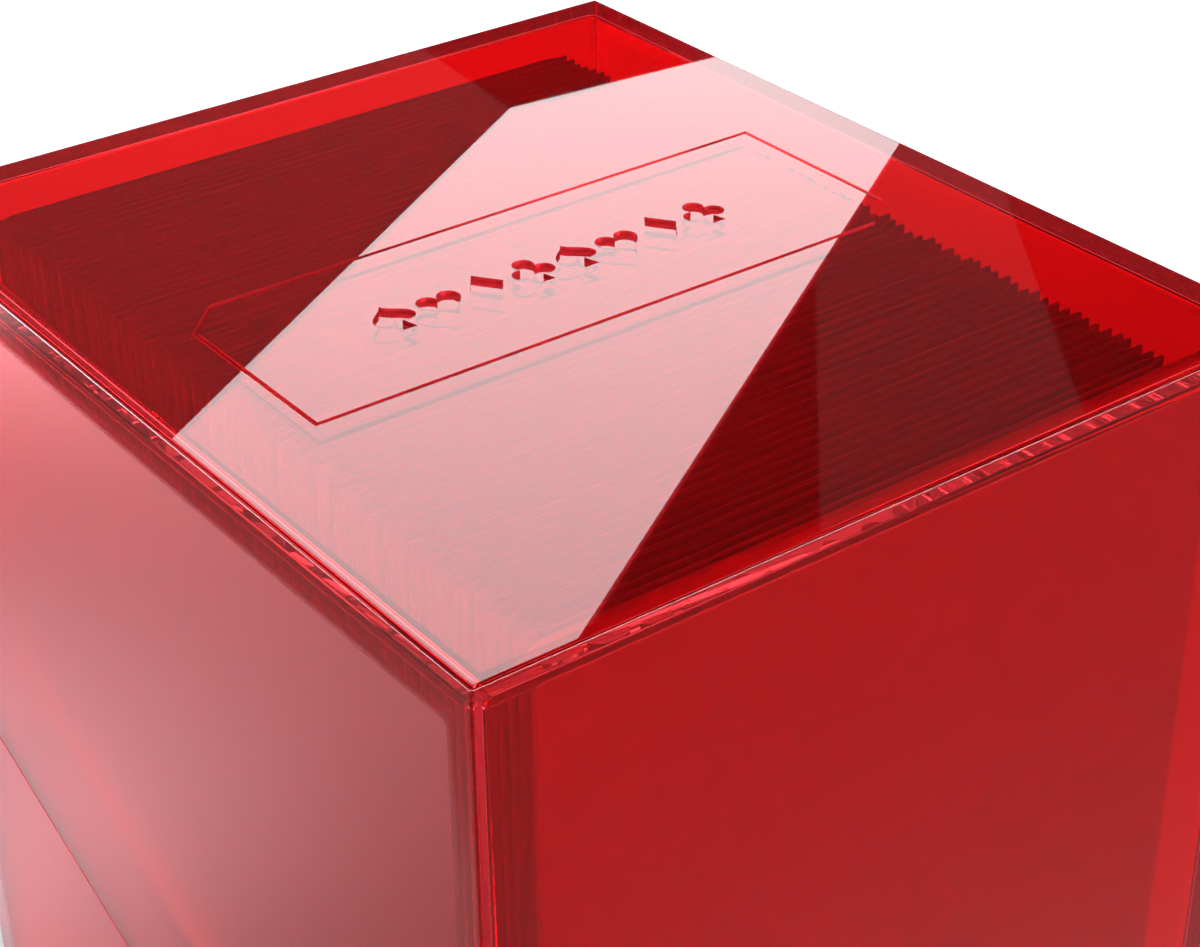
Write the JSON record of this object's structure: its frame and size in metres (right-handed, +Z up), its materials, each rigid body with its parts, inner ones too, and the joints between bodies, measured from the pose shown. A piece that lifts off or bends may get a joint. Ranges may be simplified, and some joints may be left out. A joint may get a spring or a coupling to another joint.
{
  "type": "card deck box",
  "caption": "Clear red box for a deck of sleeved cards, whose deep lid lifts off a low base along a slanted seam.",
  "frame": {"origin": "centre of the underside, on the plane that the foot rim stands on", "axes": "+Z up, +X along the card width, +Y from the front, where the seam is low, to the back, where it is high"},
  "size_m": [0.083, 0.0962, 0.101],
  "materials": {
    "base_clear_red": "clear red, satin sides",
    "lid_clear_red": "clear red, polished top and edges, satin sides",
    "card_sleeve": "sleeved cards seen through red plastic",
    "divider_sheet": "stiff matte sheet, seen through red plastic"
  },
  "bodies": {
    "base": {"base_tray": "base_clear_red"},
    "deck": {"card_divider": "divider_sheet", "sleeved_card_pair_01": "card_sleeve", "sleeved_card_pair_02": "card_sleeve", "sleeved_card_pair_03": "card_sleeve", "sleeved_card_pair_04": "card_sleeve", "sleeved_card_pair_05": "card_sleeve", "sleeved_card_pair_06": "card_sleeve", "sleeved_card_pair_07": "card_sleeve", "sleeved_card_pair_08": "card_sleeve", "sleeved_card_pair_09": "card_sleeve", "sleeved_card_pair_10": "card_sleeve", "sleeved_card_pair_11": "card_sleeve", "sleeved_card_pair_12": "card_sleeve", "sleeved_card_pair_13": "card_sleeve", "sleeved_card_pair_14": "card_sleeve", "sleeved_card_pair_15": "card_sleeve", "sleeved_card_pair_16": "card_sleeve", "sleeved_card_pair_17": "card_sleeve", "sleeved_card_pair_18": "card_sleeve", "sleeved_card_pair_19": "card_sleeve", "sleeved_card_pair_20": "card_sleeve", "sleeved_card_pair_21": "card_sleeve", "sleeved_card_pair_22": "card_sleeve", "sleeved_card_pair_23": "card_sleeve", "sleeved_card_pair_24": "card_sleeve", "sleeved_card_pair_25": "card_sleeve", "sleeved_card_pair_26": "card_sleeve", "sleeved_card_pair_27": "card_sleeve", "sleeved_card_pair_28": "card_sleeve", "sleeved_card_pair_29": "card_sleeve", "sleeved_card_pair_30": "card_sleeve", "sleeved_card_pair_31": "card_sleeve", "sleeved_card_pair_32": "card_sleeve", "sleeved_card_pair_33": "card_sleeve", "sleeved_card_pair_34": "card_sleeve", "sleeved_card_pair_35": "card_sleeve"},
    "lid": {"lid_cover": "lid_clear_red"}
  },
  "joints": [
    {"name": "deck_lift", "type": "slide", "parent": "base", "child": "deck", "axis": [0, 0, 1], "range_m": [0, 0.075]},
    {"name": "lid_lift", "type": "slide", "parent": "deck", "child": "lid", "axis": [0, 0, 1], "range_m": [0, 0.105]}
  ]
}
